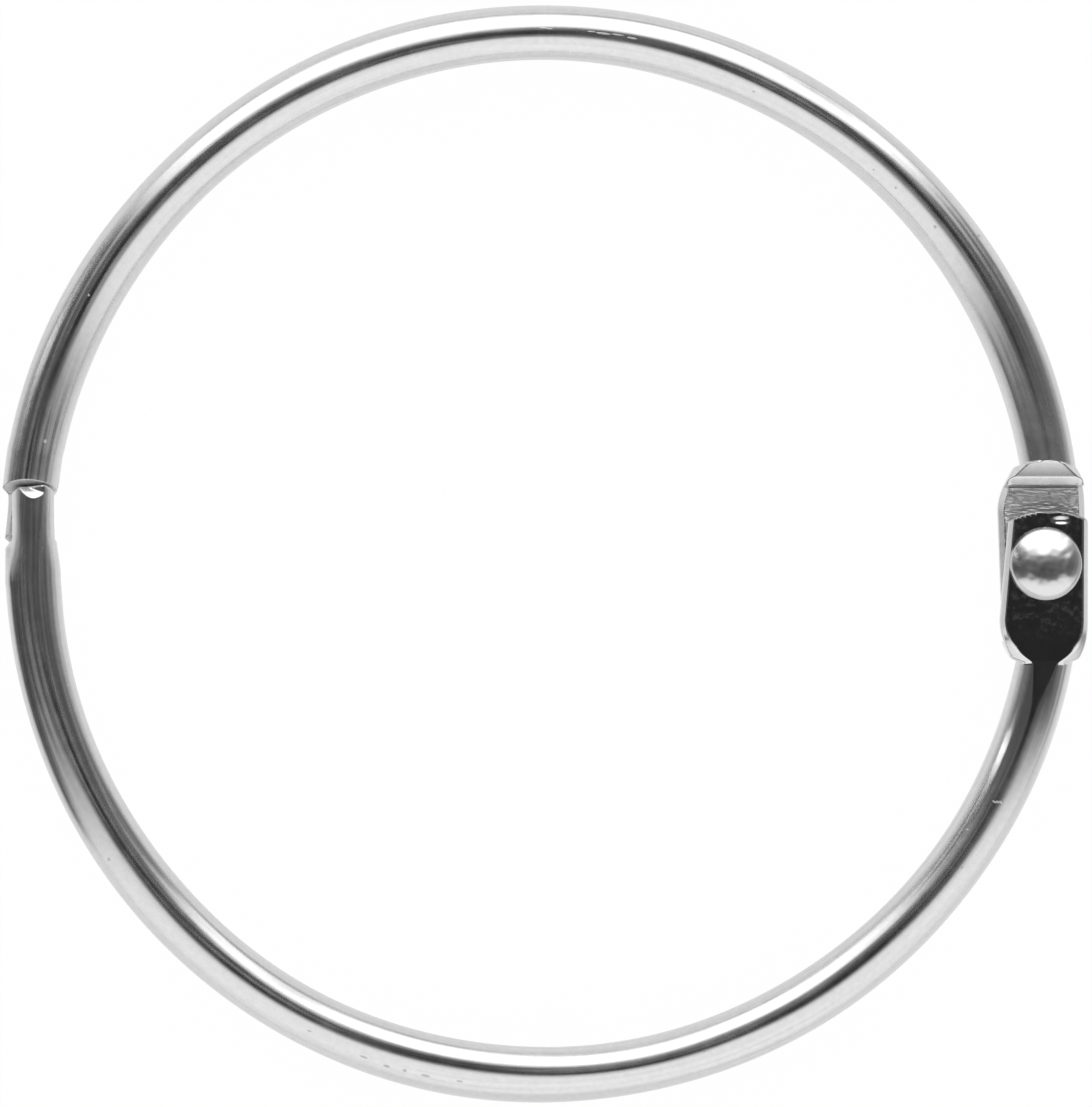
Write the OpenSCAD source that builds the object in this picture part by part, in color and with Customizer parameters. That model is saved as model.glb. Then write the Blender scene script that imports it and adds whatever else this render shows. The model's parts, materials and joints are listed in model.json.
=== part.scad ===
// Hinged wire curtain ring, lying flat.
// Origin: middle of the loop, on the wire's mid-plane. +X points to the hinge, +Z out of the front.
// Both halves are the same kind of pressed wire. Each is drawn in its own frame, with its wire below
// the X axis and its two lapped ends in front of the mid-plane. The upper half is then turned over.

/* [Wire] */
// Diameter of the round steel wire
wire_d = 3.6; // [3.2:0.1:4.2]
// Radius of each half, from the centre of its arc to the middle of the wire
arc_r = 32.95; // [26:0.05:45]
// Distance from the middle of the loop to the centre of each arc, which makes the loop slightly tall
arc_offset = 0.62; // [0.3:0.02:0.9]

/* [Hinge ears] */
// Distance of the rivet inside the wire's middle line
hinge_inset = 0.61; // [0.3:0.01:0.9]
// Distance of the rivet below the middle of the loop
hinge_drop = 0.64; // [0:0.02:1]
// Width of an ear where it leaves the neck
ear_w = 5.7; // [5.2:0.1:6.4]
// Width of an ear at its tip
ear_tip_w = 5.1; // [4.8:0.1:5.2]
// Thickness of an ear, from the mid-plane to its flat face
ear_t = 1.58; // [1.4:0.02:1.7]
// Distance from the rivet's axis to the tip of an ear
ear_reach = 3.4; // [3:0.05:3.6]
// Radius of the shallow arc that ends an ear
ear_tip_r = 5.7; // [4.5:0.1:8]
// Width of the bevel along an ear's front edges
ear_bevel = 0.25; // [0.1:0.05:0.4]

/* [Hinge neck] */
// Distance from the rivet's axis to where the neck starts to draw in
neck_start = 3.6; // [3.4:0.1:4]
// Radius of the neck's curved sides
neck_side_r = 5.2; // [4.8:0.1:6]
// Radius of the rounded end of an ear's flat face
flat_end_r = 2.65; // [2.4:0.05:2.75]
// Distance from the rivet's axis to the foot of the pressed shoulder, on the mid-plane
hinge_foot = 4.95; // [4.8:0.05:5.2]
// Distance from the rivet's axis to the edge where the pressing ends on the wire
press_end = 6.6; // [6.3:0.05:6.8]
// Distance from the rivet's axis to where the flat starts to run out into the wire
runout_start = 6.2; // [6:0.05:6.4]
// Slope of the flat as it runs out into the top of the wire, in degrees
runout_slope = 5.5; // [4:0.5:8]
// Slope of the pressed face between the shoulder and the round wire, in degrees
press_slope = 6; // [3:0.5:8]

/* [Clasp] */
// Distance of the middle of the clasp's lap above the middle of the loop
clasp_rise = 2.27; // [1.8:0.02:2.6]
// Length of the lap, between the feet of the two shoulders
lap_len = 3.16; // [2.8:0.02:3.6]
// Length of taper on the round wire before the foot of its shoulder
taper_lead = 1; // [0.8:0.1:1.4]
// Diameter of the tapered wire at the tongue's tip
tip_d = 2.7; // [2.4:0.1:3]
// Run of the slanted shoulder walls over the thickness of an ear
shoulder_run = 0.6; // [0.4:0.05:0.7]
// Length of the bevel on the tongue's tip
tip_bevel = 0.6; // [0.3:0.05:0.8]
// Slope of the bevel on the tongue's tip, in degrees
tip_bevel_slope = 24; // [15:1:35]
// Angle at which the tongue's tip is cut across, longer on the outer side, in degrees
tip_skew = 15; // [5:1:18]
// Catch notches across the inner face of a tongue
notches = 3; // [2:1:4]
// Spacing of the catch notches
notch_pitch = 0.6; // [0.5:0.05:0.7]
// Width of the catch notches, which stop short of the tongue's sides
notch_w = 1.3; // [1:0.1:1.6]
// Depth of a catch notch
notch_depth = 0.2; // [0.1:0.05:0.25]

/* [Rivet] */
// Diameter of the rivet's shank
shank_d = 2.3; // [2:0.1:2.6]
// Diameter of the domed head
head_d = 4.7; // [4.2:0.1:5]
// Height of the domed head
head_h = 1.37; // [1:0.01:1.6]
// Diameter of the peened tail
tail_d = 3.8; // [3.4:0.1:4.4]
// Height of the peened tail
tail_h = 0.7; // [0.5:0.05:0.9]

/* [Clearances] */
// Gap between the lapped inner faces of the two halves
lap_gap = 0.04; // [0.02:0.01:0.08]
// Radial clearance of the lower half's ear on the shank
pivot_gap = 0.05; // [0.02:0.01:0.09]
// Gap under the rivet's head
head_gap = 0.04; // [0.02:0.01:0.08]
// Gap between a tongue's tip and the other half's shoulder
tip_gap = 0.14; // [0.1:0.01:0.3]

/* [Hidden] */
$fn = 96;
wire_r = wire_d / 2;
shank_r = shank_d / 2;
hinge_x = arc_r - hinge_inset;
// Height to which cutting blocks reach, clear of the wire
clear_z = 1.5 * wire_r;
// Slope of a shoulder wall: run for each millimetre of height
wall_lean = shoulder_run / ear_t;
// How far each lapped face lies from the mid-plane
lap_z = lap_gap / 2;
// Length of the tapered wire, from its round base to the tongue's tip
taper_len = taper_lead + lap_len + shoulder_run;
// Distance from the rivet's axis to the top of the shoulder, and height of the pressed face at its far edge
press_start = hinge_foot + shoulder_run;
press_z = ear_t + (press_end - press_start) * tan(press_slope);
// Height on the slanted tip wall at which its bevel starts
bevel_z = tip_d / 2 - tip_bevel * tan(tip_bevel_slope);

// A flat profile in the Y-Z plane, carried across along X
module across(w) {
    rotate([90, 0, 90])
        linear_extrude(w, center = true)
            children();
}

// Cap of a sphere that stands on the X-Y plane
module dome(d, h) {
    cap_r = (d * d / 4 + h * h) / (2 * h);
    intersection() {
        translate([0, 0, h - cap_r])
            sphere(cap_r);
        cylinder(h = 2 * h, r = d);
    }
}

// Plan of an ear and its neck. The rivet's axis is the origin, and the wire leaves along -Y.
module ear_plan() {
    corner_y = ear_reach - ear_tip_r + sqrt(pow(ear_tip_r, 2) - pow(ear_tip_w / 2, 2));
    polygon([[-ear_w / 2, -neck_start], [ear_w / 2, -neck_start],
        [ear_tip_w / 2, corner_y], [-ear_tip_w / 2, corner_y]]);
    intersection() {
        translate([0, ear_reach - ear_tip_r])
            circle(ear_tip_r);
        translate([-ear_tip_w / 2, 0])
            square([ear_tip_w, ear_tip_r]);
    }
}

module neck_plan() {
    side_x = neck_side_r - ear_w / 2;
    intersection() {
        translate([side_x, -neck_start])
            circle(neck_side_r);
        translate([-side_x, -neck_start])
            circle(neck_side_r);
        translate([-ear_w, -press_end])
            square([2 * ear_w, press_end - neck_start]);
    }
}

// Bevels along the two tapering sides and the rounded tip of an ear's flat face
module ear_bevels() {
    side_lean = atan((ear_w - ear_tip_w) / 2 / (neck_start + ear_reach));
    for (side = [-1, 1])
        translate([side * ear_w / 2, -neck_start, ear_t])
            rotate([0, 0, side * side_lean])
                rotate([0, 45, 0])
                    cube([ear_bevel * sqrt(2), 4 * ear_reach, ear_bevel * sqrt(2)], center = true);
    translate([0, ear_reach - ear_tip_r, 0])
        rotate_extrude()
            polygon([[ear_tip_r - ear_bevel, ear_t], [ear_tip_r, ear_t - ear_bevel],
                [ear_tip_r + ear_bevel, ear_t - ear_bevel], [ear_tip_r + ear_bevel, ear_t + ear_bevel],
                [ear_tip_r - ear_bevel, ear_t + ear_bevel]]);
}

// The pressed hinge end: a flat ear in front, and a neck as thick as the pressing leaves it
module hinge_blank() {
    difference() {
        linear_extrude(ear_t)
            ear_plan();
        ear_bevels();
    }
    intersection() {
        translate([0, 0, -press_z])
            linear_extrude(press_z + ear_t)
                neck_plan();
        // The flat face ends in a round, from which the front slopes down to the wire
        translate([0, -neck_start, 0])
            rotate_extrude()
                polygon([[0, -clear_z], [flat_end_r + 2 * ear_w, -clear_z], [flat_end_r + ear_t, 0],
                    [flat_end_r, ear_t], [0, ear_t]]);
    }
}

// Space in front of the hinge's flat face, where the wire's crown is pressed down and runs out
module crown_cut() {
    rise = clear_z - ear_t;
    across(3 * ear_w)
        polygon([[0, ear_t], [-runout_start, ear_t],
            [-runout_start - rise / tan(runout_slope), clear_z], [0, clear_z]]);
}

// Space behind the pressed face between the shoulder and the round wire
module press_cut() {
    across(3 * ear_w)
        polygon([[0, -ear_t], [-press_start, -ear_t], [-press_end, -press_z],
            [-press_end, -clear_z], [0, -clear_z]]);
}

// Space behind the mid-plane that the other half's lapped end fills. Its slanted shoulder rises from Y = 0.
module lap_cut(reach, w) {
    across(w)
        polygon([[0, lap_z], [-wall_lean * (clear_z + lap_z), -clear_z], [reach, -clear_z], [reach, lap_z]]);
}

// What is cut off a tongue's tip: a slanted wall from Y = 0 on the mid-plane, and a bevel over it
module tip_cut() {
    wall_y = wall_lean * bevel_z;
    run = (clear_z - bevel_z) / tan(tip_bevel_slope);
    across(3 * wire_d)
        polygon([[-wall_lean * clear_z, -clear_z], [wall_y, bevel_z], [wall_y - run, clear_z],
            [2 * wire_d, clear_z], [2 * wire_d, -clear_z]]);
}

// V-shaped catch notches in the middle of a tongue's inner face
module catch_notches() {
    for (i = [0 : notches - 1])
        translate([0, (i - (notches - 1) / 2) * notch_pitch, lap_z])
            across(notch_w)
                polygon([[-notch_depth, -lap_z], [notch_depth, -lap_z], [0, notch_depth]]);
}

// The tapered clasp end, with its lapped tongue. The middle of the lap lies at clasp_y.
module clasp_end(clasp_y, lean) {
    difference() {
        translate([0, -arc_offset, 0])
            rotate([0, 0, lean])
                translate([-arc_r, 0, 0])
                    rotate([-90, 0, 0])
                        cylinder(h = taper_len, r1 = wire_r, r2 = tip_d / 2);
        translate([-arc_r, clasp_y, 0]) {
            translate([0, -lap_len / 2, 0])
                lap_cut(taper_len, 3 * wire_d);
            // The tip is cut across from its outer side, where it comes closest to the shoulder
            translate([-tip_d / 2, lap_len / 2 - tip_gap, 0])
                rotate([0, 0, -tip_skew])
                    tip_cut();
            catch_notches();
        }
    }
}

// The pressed hinge end. The rivet's axis is the origin.
module hinge_end(bore_r) {
    difference() {
        hinge_blank();
        press_cut();
        translate([0, -hinge_foot, 0])
            lap_cut(3 * ear_reach, 3 * ear_w);
        translate([0, 0, -clear_z])
            cylinder(h = 2 * clear_z, r = bore_r);
    }
}

// One half. The rivet's axis lies at hinge_y, the middle of the lap at clasp_y and the hole's radius is bore_r.
module half_ring(hinge_y, clasp_y, bore_r) {
    // Where the arc of round wire ends on the clasp's side, as an angle past the loop's middle
    base_y = clasp_y - lap_len / 2 - taper_lead;
    lean = asin((-base_y - arc_offset) / arc_r);
    // The arc runs on into the pressed neck, short of the lap
    inner_y = hinge_y - (neck_start + hinge_foot) / 2;
    inner_a = asin((-inner_y - arc_offset) / arc_r);
    difference() {
        translate([0, -arc_offset, 0])
            rotate([0, 0, 180 + lean])
                rotate_extrude(angle = 180 - lean - inner_a, $fn = 240)
                    translate([arc_r, 0])
                        circle(wire_r);
        translate([hinge_x, hinge_y, 0]) {
            crown_cut();
            press_cut();
            translate([0, -hinge_foot, 0])
                lap_cut(hinge_foot, 3 * ear_w);
        }
    }
    translate([hinge_x, hinge_y, 0])
        hinge_end(bore_r);
    clasp_end(clasp_y, lean);
}

module lower_half() {
    color("silver")
        half_ring(-hinge_drop, clasp_rise, shank_r + pivot_gap);
}

module upper_half() {
    color("silver")
        rotate([180, 0, 0])
            half_ring(hinge_drop, -clasp_rise, shank_r);
}

// The rivet is fast in the upper half's ear, and the lower half turns on its shank
module hinge_rivet() {
    head_z = ear_t + head_gap;
    color("gainsboro")
        translate([hinge_x, -hinge_drop, 0]) {
            translate([0, 0, -ear_t])
                cylinder(h = ear_t + head_z, r = shank_r);
            translate([0, 0, head_z])
                dome(head_d, head_h);
            translate([0, 0, -ear_t])
                mirror([0, 0, 1])
                    dome(tail_d, tail_h);
        }
}

upper_half();
lower_half();
hinge_rivet();
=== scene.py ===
# %% [markdown]
# # A hinged wire curtain ring
# The ring is two half rings of round plated steel wire. A rivet joins them on the right, and two
# tapered tongues lap and catch on the left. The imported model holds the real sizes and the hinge.
# Here each half is made again as one dense, smooth skin, because a mirror finish shows every flat.

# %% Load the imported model
import json
import math
from types import SimpleNamespace

import bpy
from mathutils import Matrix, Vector
from mathutils import noise as value_noise


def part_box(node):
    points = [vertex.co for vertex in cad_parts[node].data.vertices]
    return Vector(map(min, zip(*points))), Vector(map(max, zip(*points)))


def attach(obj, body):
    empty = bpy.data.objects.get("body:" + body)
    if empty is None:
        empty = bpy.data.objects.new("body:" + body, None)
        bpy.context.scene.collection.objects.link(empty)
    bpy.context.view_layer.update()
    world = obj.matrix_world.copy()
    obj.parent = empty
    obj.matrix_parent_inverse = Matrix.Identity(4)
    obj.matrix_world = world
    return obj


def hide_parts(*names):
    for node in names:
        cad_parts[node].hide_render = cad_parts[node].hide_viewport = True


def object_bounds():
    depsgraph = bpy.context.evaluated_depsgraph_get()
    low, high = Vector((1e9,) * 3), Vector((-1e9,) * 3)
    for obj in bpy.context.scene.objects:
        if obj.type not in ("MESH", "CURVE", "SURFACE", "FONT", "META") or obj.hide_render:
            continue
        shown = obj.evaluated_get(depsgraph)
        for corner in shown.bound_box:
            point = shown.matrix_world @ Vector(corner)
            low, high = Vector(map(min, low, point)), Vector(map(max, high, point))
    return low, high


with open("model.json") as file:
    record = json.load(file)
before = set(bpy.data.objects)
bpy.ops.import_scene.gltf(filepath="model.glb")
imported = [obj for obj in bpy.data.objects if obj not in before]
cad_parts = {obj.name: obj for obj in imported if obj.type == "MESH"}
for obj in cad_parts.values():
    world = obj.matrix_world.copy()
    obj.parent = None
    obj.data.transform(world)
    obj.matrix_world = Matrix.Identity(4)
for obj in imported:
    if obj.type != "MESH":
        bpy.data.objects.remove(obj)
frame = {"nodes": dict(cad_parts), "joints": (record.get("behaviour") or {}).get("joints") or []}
cad_low, cad_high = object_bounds()
print("packed model:", sorted(frame["nodes"]), [round(1000 * v, 2) for v in (*cad_low, *cad_high)])

# %% [markdown]
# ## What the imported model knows
# All sizes are in millimetres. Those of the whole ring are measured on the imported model, so they
# can't drift from it: the rivet's axis, the wire's thickness, and the loop's height and width,
# which give the two arcs.

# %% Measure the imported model
MM = 0.001
hinge = frame["joints"][0]
hinge_x, hinge_y = (v / MM for v in hinge["pos_m"][:2])
wire_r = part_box("upper_half")[1].z / MM
loop_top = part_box("upper_half")[1].y / MM
loop_left = -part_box("lower_half")[0].x / MM
arc_r = loop_left - wire_r
arc_offset = loop_top - wire_r - arc_r
print("rivet at", round(hinge_x, 2), round(hinge_y, 2), "wire", round(2 * wire_r, 2), "arc", round(arc_r, 2))

# %% [markdown]
# ## The sizes of the pressed ends
# Each end of a half ring was pressed in a die. Its sizes could be typed into the formulas, but with
# names they read as on a toolmaker's drawing, and one tree can make both halves. The two are meant
# to be the same part, and the upper one came out a little different, so it has some of its own.

# %% Sizes of a half ring
# The skin is uneven, so the wire starts this far under its full radius
SKIN_UNDER = 0.012

SIZES = {
    # The wire's arc, and the flat face on which the halves lap
    "wire_radius": wire_r - SKIN_UNDER, "arc_radius": arc_r, "arc_offset": arc_offset,
    "hinge_x": hinge_x, "lap_plane": 0.02,
    # The flat ear: its outline, its lean to one side, and the edges of its face
    "ear_width": 5.68, "ear_thickness": 1.58, "ear_reach": 3.4, "ear_tip_radius": 5.7,
    "ear_taper": 0.043, "ear_chamfer": 0.45, "ear_lean": 0.045, "ear_lean_start": 1.65,
    "ear_bevel": 0.32, "flat_end_radius": 3.13, "neck_start": 3.6, "neck_side_radius": 5.2,
    # Behind the ear: the step up to the whole wire, and the torn floor before it
    "hinge_foot": 4.97, "foot_bevel": 5.52, "tear_start": -2.7, "tear_depth": 0.13,
    # The pressed slope on the other side of the step, and the flat that runs out along the wire
    "press_start": 5.5, "press_end": 6.6, "press_curve": 0.1, "press_slope": 0.085,
    "press_hollow": 0.06, "press_side": 2.75, "press_narrowing": 1.1,
    "runout_start": 6.2, "runout_slope": 0.062,
    # The tongue: its length, its taper, and how far its sides are squeezed in
    "taper_lead": 1.0, "lap_length": 3.16, "tip_radius": 1.7, "taper_length": 4.76,
    "squeeze": 0.26, "outer_squeeze": -0.4, "inner_squeeze": -2.4, "lap_chamfer": 0.97,
    # The shoulder that the other tongue slides under, and the tongue's cut and bevelled tip
    "shoulder_lean": 0.4, "tip_gap": 0.15, "tip_lean": 0.5,
    "bevel_height": 1.67, "bevel_start": -0.02, "bevel_depth": 0.34, "bevel_slope": 0.66,
    "bevel_skew": math.radians(18), "bevel_tilt": 0.2,
    # The notches that catch
    "notch_pitch": 0.6, "notch_width": 1.3, "notch_depth": 0.2,
    # What went a little wrong: the wire's bow, a dent beside the rivet, and the wire out of round
    "bow": -0.16, "bow_start": -33.0, "bow_full": -20.0, "dent": 0.075, "grain": 3.0,
    "low_slant": -0.09, "high_slant": 0.0, "slant_middle": math.radians(-60),
    "slant_start": math.radians(80), "slant_full": math.radians(95),
}
UPPER_SIZES = {
    "ear_width": 5.61, "neck_start": 3.4, "ear_taper": 0.0, "ear_lean": 0.037, "ear_lean_start": -1.2,
    "lap_length": 3.5, "tip_gap": 0.7, "outer_squeeze": -0.3, "inner_squeeze": -0.3,
    "bow": 0.225, "bow_start": -26.0, "bow_full": -4.0, "dent": 0.0, "grain": 11.0,
    "low_slant": 0.045, "high_slant": -0.085, "slant_middle": math.radians(-7),
    "slant_start": math.radians(32), "slant_full": math.radians(52),
}
print({name: round(size, 3) for name, size in SIZES.items()})

# %% [markdown]
# ## Formulas as nodes
# Shapes and finishes here are formulas, and both kinds of node tree can hold one. A small class wraps
# a socket, so that an expression in Python adds the Math nodes for it. Every other node comes from
# one method, which takes the node's type, its sockets' values and its settings.

# %% Sockets that can be used in an expression


class Value:
    """A node's output that can stand in a formula."""

    def __init__(self, nodes, socket):
        self.nodes = nodes
        self.socket = socket

    def of(self, name):
        """Another output of the same node."""
        return Value(self.nodes, self.socket.node.outputs[name])

    def math(self, operation, *others):
        """What a Math node makes of this value and the others."""
        return self.nodes.add("ShaderNodeMath", [self, *others], operation=operation)

    def __add__(self, other):
        return self.math("ADD", other)

    def __sub__(self, other):
        return self.math("SUBTRACT", other)

    def __rsub__(self, other):
        return self.nodes.add("ShaderNodeMath", [other, self], operation="SUBTRACT")

    def __mul__(self, other):
        return self.math("MULTIPLY", other)

    def __truediv__(self, other):
        return self.math("DIVIDE", other)

    def __neg__(self):
        return self.math("MULTIPLY", -1.0)

    def __abs__(self):
        return self.math("ABSOLUTE")

    def __gt__(self, other):
        return self.math("GREATER_THAN", other)

    def __lt__(self, other):
        return self.math("LESS_THAN", other)

    __radd__ = __add__
    __rmul__ = __mul__


class Nodes:
    """One node tree, and what is added to it."""

    def __init__(self, tree):
        self.tree = tree

    def node(self, kind, **settings):
        """Adds a bare node and sets its settings."""
        node = self.tree.nodes.new(kind)
        for name, setting in settings.items():
            setattr(node, name, setting)
        return node

    def link(self, value, socket):
        """Links a value to a socket, or sets the socket to a plain number."""
        if isinstance(value, Value):
            self.tree.links.new(value.socket, socket)
        else:
            socket.default_value = value

    def add(self, kind, inputs=(), out=0, **settings):
        """Adds a node, sets its settings and then its sockets, and returns one of its outputs."""
        node = self.node(kind, **settings)
        pairs = inputs.items() if isinstance(inputs, dict) else enumerate(inputs)
        for key, value in pairs:
            self.link(value, node.inputs[key])
        return Value(self, node.outputs[out]) if node.outputs else node

    def vector(self, x, y, z):
        """Three numbers as one vector."""
        return self.add("ShaderNodeCombineXYZ", [x, y, z])

    def split(self, vector):
        """A vector's three numbers."""
        parts = self.add("ShaderNodeSeparateXYZ", [vector])
        return parts, parts.of("Y"), parts.of("Z")


# %% [markdown]
# A few more words for formulas. The smooth ones matter most: joined is two bodies together,
# common is what two bodies share, and the last number of both is how wide the rounded edge
# between them is, in millimetres.

# %% Words for formulas


def mix(a, b, share):
    """a where the share is 0, and b where it is 1."""
    return share.nodes.add("ShaderNodeMix", {"Factor": share, "A": a, "B": b}, data_type="FLOAT")


def rise(value, low, high):
    """0 below low, 1 above high, and a smooth rise between them."""
    return value.nodes.add("ShaderNodeMapRange", [value, low, high], interpolation_type="SMOOTHSTEP")


def root(a):
    return a.math("SQRT")


def sine(a):
    return a.math("SINE")


def cosine(a):
    return a.math("COSINE")


def least(a, b):
    return a.math("MINIMUM", b)


def most(a, b):
    return a.math("MAXIMUM", b)


def joined(a, b, blend):
    return a.math("SMOOTH_MIN", b, blend)


def common(a, b, blend):
    return a.math("SMOOTH_MAX", b, blend)


def length(a, b):
    return root(a * a + b * b)


def noise(vector, scale, detail, roughness):
    """A noise from 0 to 1, finer with a larger scale."""
    inputs = {"Vector": vector, "Scale": scale, "Detail": detail, "Roughness": roughness}
    return vector.nodes.add("ShaderNodeTexNoise", inputs, noise_dimensions="3D")


# %% [markdown]
# ## The shape of a half ring, as distances
# A pressed part could be modelled face by face, but its soft edges are hard to get that way. Here it
# is a meeting of simple bodies: a round wire, a flat blank, the faces of the dies. Each is
# a formula for how far a point lies outside it, below zero inside. The larger of two distances
# is what both bodies share, the smaller is both together, and a smooth larger or smaller rounds the
# edge between them. Both halves use the same formulas, drawn with the wire below the hinge and the
# lapped ends in front.
#
# The wire comes first. Drawn and bent wire is never quite round: it is a little oval, it leans, and
# the die leaves faint ridges along it. A mirror finish shows all three.

# %% Distance to the round wire
# How often the oval and its slant come and go round the loop, and how much they move the skin
OVAL_WAVES = 8.3
SLANT_WAVES = 7.1
OUT_OF_ROUND = 0.028
DIE_LINES = 0.0022
# Keeps the formulas for the oval safe in the wire's very middle
SAFE = 0.001


def sideways(x, y, size):
    """How far the bent wire strays outwards from a true arc, towards the clasp."""
    foot_y = size.clasp_y - size.lap_length / 2
    strays = rise(y, size.bow_start, size.bow_full) * (x < 0.0)
    return size.bow * strays * (1.0 - rise(y - foot_y, 0.0, 3.0) * 0.3)


def round_bar(off, x, y, z, size):
    """Distance to a round bar, off and z away from its middle, that is a little out of round."""
    grain = size.grain
    angle = x.math("ARCTAN2", -y - size.arc_offset)
    span = length(off, z)
    oval = (off - z) * (off + z) / (span * span + SAFE)
    slant = off * z * 2.0 / (span * span + SAFE)
    uneven = oval * sine(angle * OVAL_WAVES + grain) + slant * sine(angle * SLANT_WAVES + grain * 2.0)
    turned_out = rise(abs(angle - size.slant_middle), size.slant_start, size.slant_full)
    leaning = slant * mix(size.low_slant, size.high_slant, turned_out)
    turn = z.math("ARCTAN2", off)
    lines = sine(turn * 13.0) + sine(turn * 7.0 + angle * 0.7) * 0.8
    return span - size.wire_radius - uneven * OUT_OF_ROUND - leaning - lines * DIE_LINES


def wire_distance(x, y, z, size):
    """Distance to the round wire, bent to its arc."""
    off_line = length(x, y + size.arc_offset) - size.arc_radius - sideways(x, y, size)
    return round_bar(off_line, x, y, z, size)


# %% [markdown]
# The hinge end was pressed flat, half as thick as the wire, and trimmed to an ear with a rounded
# tip. The ear could be an outline pulled up to its thickness, but the real one has a bevel that
# widens towards its neck, so its face is a second, smaller outline that leans out to the first.

# %% Distance to the ear's outline and face
EAR_CORNER = 0.3
# The dent's place from the rivet, and half its size, across and down
DENT_ACROSS = 1.0
DENT_DOWN = -2.78
DENT_HALF_WIDTH = 0.62
DENT_HALF_HEIGHT = 0.24


def ear_lean(down, size):
    """How far the ear's middle line would lie from the rivet if its lean went on."""
    return size.ear_lean * (size.ear_lean_start - least(down, size.neck_start))


def ear_middle(down, size):
    """How far the ear's middle line lies from the rivet, since it was pressed a little askew."""
    return ear_lean(down, size) * (1.0 - rise(down, size.neck_start, 5.8))


def ear_tip(across, down, size):
    """Distance to the rounded end of the ear."""
    up = most(size.ear_tip_radius - size.ear_reach - down, 0.0)
    return length(across, up) - size.ear_tip_radius


def ear_outlines(across, down, size):
    """Distances to the ear's whole outline, and to the outline of its flat face."""
    neck_down = most(down - size.neck_start, 0.0)
    narrowing = size.ear_taper * most(size.neck_start - down, 0.0)
    tip = ear_tip(across, down, size)
    side_x = size.neck_side_radius - size.ear_width / 2
    side = length(across + side_x, neck_down) - size.neck_side_radius + narrowing
    flat_x = size.flat_end_radius - size.ear_width / 2 + size.ear_bevel
    flat_side = length(across + flat_x, neck_down) - size.flat_end_radius + narrowing
    return common(side, tip, EAR_CORNER), common(flat_side, tip, 0.15)


def ear_face(flat, from_rivet, down, z, size):
    """Distance to the ear's flat face with its bevel and its dent."""
    neck_down = most(down - size.neck_start, 0.0)
    steepness = mix(1.6, 1.0, rise(neck_down, 0.0, 1.4))
    height = z - size.ear_thickness
    bevel = (flat * steepness + height) / root(steepness * steepness + 1.0)
    dent_x = (from_rivet - DENT_ACROSS) / DENT_HALF_WIDTH
    dent_y = (down - DENT_DOWN) / DENT_HALF_HEIGHT
    dent = size.dent * most(1.0 - dent_x * dent_x - dent_y * dent_y, 0.0)
    return common(height + dent, bevel, 0.02 + rise(down, -3.3, -2.6) * 0.05)


# %% [markdown]
# The ear runs into the wire through the marks of the press: a slope with two side facets on one
# face, a flat that runs out along the wire on the other, and a step up from the lapped face. The
# metal tore a little as it was sheared along that face, which is a noise in the formula, since
# a bump in the finish would look flat from the side.

# %% Distance to the whole hinge end
# A chamfer's slope as a unit vector, across and down, and the same for the facets of the press
CHAMFER_ACROSS = 0.77
CHAMFER_DOWN = 0.64
FACET_ACROSS = 0.84
FACET_DOWN = 0.54
FACET_FROM = 5.0
# The slope of the step's bevelled foot, and its cosine
FOOT_SLOPE = 1.28
FOOT_COSINE = 0.615
WIRE_FROM = 4.4


def torn_floor(x, y, down, size):
    """The height of the cut face, with what tore out of it."""
    torn = rise(down, size.tear_start, size.tear_start + 0.2)
    torn = torn * (1.0 - rise(down, 4.8, 5.05))
    ripple = noise(x.nodes.vector(x * 3.4, y * 6.0, size.grain), 1.0, 4.0, 0.65)
    return size.lap_plane + size.tear_depth * torn * most(ripple - 0.3, 0.0) * 2.0


def hinge_distance(x, y, z, size, wire):
    """Distance to the flat ear, its neck and the wire that runs into it."""
    down = size.hinge_y - y
    from_rivet = x - size.hinge_x
    across = abs(from_rivet - ear_middle(down, size))
    outline, flat = ear_outlines(across, down, size)

    # The blank: the ear, as far as the press reached
    press_end = size.press_end - size.press_curve * across * across
    face = ear_face(flat, from_rivet, down, z, size)
    blank = common(outline, face, 0.02 + rise(down, -3.3, -2.6) * 0.12)
    blank = common(blank, down - press_end, 0.16)
    past_press = most(down - size.press_start, 0.0)
    pressed = size.ear_thickness + (size.press_slope + size.press_hollow * past_press) * past_press
    facet = across - size.press_side + size.press_narrowing * (down - FACET_FROM)
    blank = common(blank, facet * FACET_ACROSS + (-pressed - z) * FACET_DOWN, 0.08)

    # The blank and the wire together, cut by the press on both faces
    wire = common(wire, WIRE_FROM - down, 0.05)
    body = joined(blank, wire, 0.14)
    body = common(body, joined(-pressed - z, press_end - down, 0.12), 0.1)
    crown = size.ear_thickness + size.runout_slope * most(down - size.runout_start, 0.0)
    body = common(body, z - crown, 0.004 + 0.08 * rise(down, 6.0, 8.0))

    # The lapped face and the step at its end
    below = torn_floor(x, y, down, size) - z
    wall = size.hinge_foot + 0.06 * below - down
    foot = (size.foot_bevel - (size.ear_thickness - below) * FOOT_SLOPE - down) * FOOT_COSINE
    chamfer = (outline + size.ear_chamfer) * CHAMFER_ACROSS + (size.lap_plane - z) * CHAMFER_DOWN
    lap_edge = common(below, chamfer, 0.06)
    return common(body, joined(lap_edge, most(wall, foot), 0.04), 0.06)


# %% [markdown]
# The clasp end is a cone that runs on from the arc. Its back is pressed away up to a slanted
# shoulder, and its tip is cut across on the skew and bevelled, so that one tongue can slide in
# under the other half's shoulder. Three small notches on the flat inner face catch. Booleans could
# make these cuts too, but they leave knife edges and slivers, and distances round every edge.

# %% Distance to the clasp end
# Cosines of the shoulder's, the tip's and the bevel's slopes, which make their formulas distances
SHOULDER_COSINE = 0.93
TIP_COSINE = 0.89
BEVEL_COSINE = 0.9


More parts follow.
